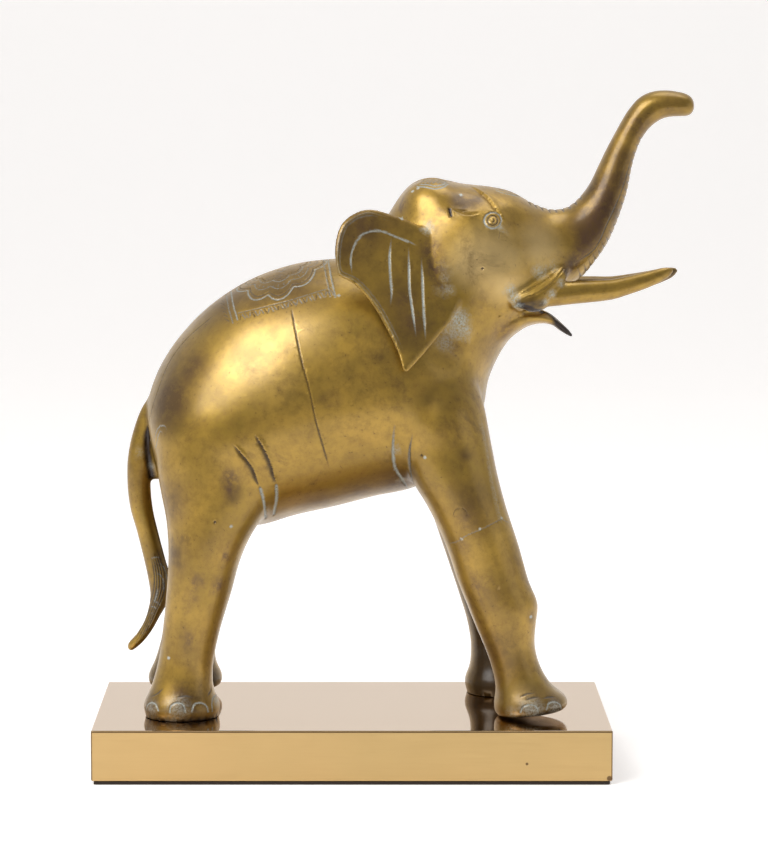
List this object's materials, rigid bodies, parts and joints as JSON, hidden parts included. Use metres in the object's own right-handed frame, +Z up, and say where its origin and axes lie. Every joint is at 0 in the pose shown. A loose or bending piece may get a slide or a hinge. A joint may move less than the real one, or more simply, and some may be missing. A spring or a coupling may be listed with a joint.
{
  "type": "elephant sculpture",
  "caption": "Striding bronze elephant with raised trunk and forward tusks, on a thin rectangular brass-faced plinth.",
  "frame": {"origin": "centre of the plinth's underside, where the sculpture rests", "axes": "+X the way the elephant walks, +Z up, +Y to its left side"},
  "size_m": [0.2808, 0.125, 0.3172],
  "materials": {
    "aged_bronze": "golden-brown aged bronze patina, satin",
    "polished_brass": "polished top, fine satin sides",
    "dark_pad": "matt dark brown"
  },
  "bodies": {
    "root": {"elephant": "aged_bronze", "plinth": "polished_brass", "underside_pad": "dark_pad"}
  },
  "joints": []
}
